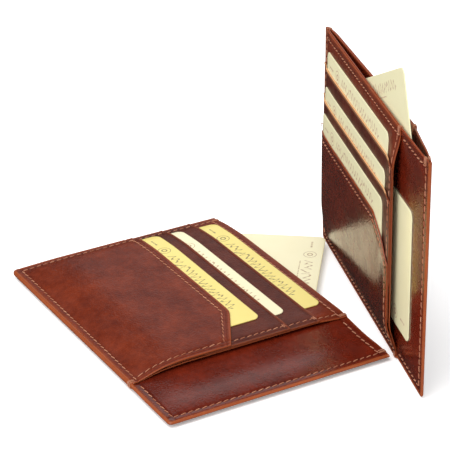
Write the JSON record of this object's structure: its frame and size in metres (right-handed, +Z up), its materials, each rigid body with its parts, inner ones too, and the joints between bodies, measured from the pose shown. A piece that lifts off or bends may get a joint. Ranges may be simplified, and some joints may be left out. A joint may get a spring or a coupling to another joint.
{
  "type": "travel document organizer",
  "caption": "Leather travel document organizer: two matching double-sided leaves, each a document pocket with stepped card slots and a slant-cut pocket, one lying and one standing.",
  "frame": {"origin": "middle of the lying leaf's underside, on the surface that the object stands on", "axes": "+X along the lying leaf's long side, from its closed end to its bare end; +Y towards the mouth of its document pocket, and towards the standing leaf; +Z up"},
  "size_m": [0.1659, 0.1316, 0.1168],
  "materials": {
    "panel_leather": "glazed calf leather in mahogany, fine grain, polished",
    "glossy_leather": "high-gloss glazed mahogany leather",
    "slot_leather": "darker plum-brown glazed leather, satin",
    "cut_edge_leather": "dyed and burnished cut edge, satin",
    "thread": "waxed polyester sewing thread",
    "gold_card": "smooth laminated card, soft gloss",
    "ivory_card": "smooth laminated card, soft gloss",
    "pale_card": "smooth laminated card, soft gloss"
  },
  "bodies": {
    "flat_leaf": {"flat_edge_welt": "cut_edge_leather", "flat_front_wall": "glossy_leather", "flat_back_wall": "glossy_leather", "flat_front_card_panel": "panel_leather", "flat_front_upper_slot": "slot_leather", "flat_front_lower_slot": "slot_leather", "flat_front_corner_pocket": "panel_leather", "flat_back_card_panel": "panel_leather", "flat_back_upper_slot": "slot_leather", "flat_back_lower_slot": "slot_leather", "flat_back_corner_pocket": "panel_leather", "flat_edge_stitching": "thread", "flat_front_panel_stitching": "thread", "flat_back_panel_stitching": "thread", "flat_bar_tacks": "thread"},
    "upright_leaf": {"upright_edge_welt": "cut_edge_leather", "upright_front_wall": "glossy_leather", "upright_back_wall": "glossy_leather", "upright_front_card_panel": "panel_leather", "upright_front_upper_slot": "slot_leather", "upright_front_lower_slot": "slot_leather", "upright_front_corner_pocket": "panel_leather", "upright_back_card_panel": "panel_leather", "upright_back_upper_slot": "slot_leather", "upright_back_lower_slot": "slot_leather", "upright_back_corner_pocket": "panel_leather", "upright_edge_stitching": "thread", "upright_front_panel_stitching": "thread", "upright_back_panel_stitching": "thread", "upright_bar_tacks": "thread"},
    "flat_upper_card_body": {"flat_upper_card": "gold_card"},
    "flat_middle_card_body": {"flat_middle_card": "ivory_card"},
    "flat_lower_card_body": {"flat_lower_card": "gold_card"},
    "flat_document_card_body": {"flat_document_card": "ivory_card"},
    "upright_upper_card_body": {"upright_upper_card": "pale_card"},
    "upright_middle_card_body": {"upright_middle_card": "pale_card"},
    "upright_lower_card_body": {"upright_lower_card": "pale_card"},
    "upright_document_card_body": {"upright_document_card": "pale_card"},
    "upright_slip_card_body": {"upright_slip_card": "pale_card"}
  },
  "joints": [
    {"name": "upright_leaf_tip", "type": "hinge", "parent": "flat_leaf", "child": "upright_leaf", "pos_m": [-0.03151, 0.08495, 0], "axis": [-0.9563, 0.2924, 0], "range_deg": [0, 90]},
    {"name": "flat_upper_card_slide", "type": "slide", "parent": "flat_leaf", "child": "flat_upper_card_body", "axis": [0, 1, 0], "range_m": [0, 0.01]},
    {"name": "flat_middle_card_slide", "type": "slide", "parent": "flat_leaf", "child": "flat_middle_card_body", "axis": [0, 1, 0], "range_m": [0, 0.025]},
    {"name": "flat_lower_card_slide", "type": "slide", "parent": "flat_leaf", "child": "flat_lower_card_body", "axis": [0, 1, 0], "range_m": [0, 0.034]},
    {"name": "flat_document_card_slide", "type": "slide", "parent": "flat_leaf", "child": "flat_document_card_body", "axis": [0, 1, 0], "range_m": [-0.02, 0]},
    {"name": "upright_upper_card_slide", "type": "slide", "parent": "upright_leaf", "child": "upright_upper_card_body", "axis": [0, 0, 1], "range_m": [0, 0.045]},
    {"name": "upright_middle_card_slide", "type": "slide", "parent": "upright_leaf", "child": "upright_middle_card_body", "axis": [0, 0, 1], "range_m": [0, 0.045]},
    {"name": "upright_lower_card_slide", "type": "slide", "parent": "upright_leaf", "child": "upright_lower_card_body", "axis": [0, 0, 1], "range_m": [0, 0.03]},
    {"name": "upright_document_card_slide", "type": "slide", "parent": "upright_leaf", "child": "upright_document_card_body", "axis": [0, 0, 1], "range_m": [-0.02, 0.055]},
    {"name": "upright_slip_card_slide", "type": "slide", "parent": "upright_leaf", "child": "upright_slip_card_body", "axis": [0.9563, -0.2924, 0], "range_m": [-0.022, 0.06]}
  ]
}
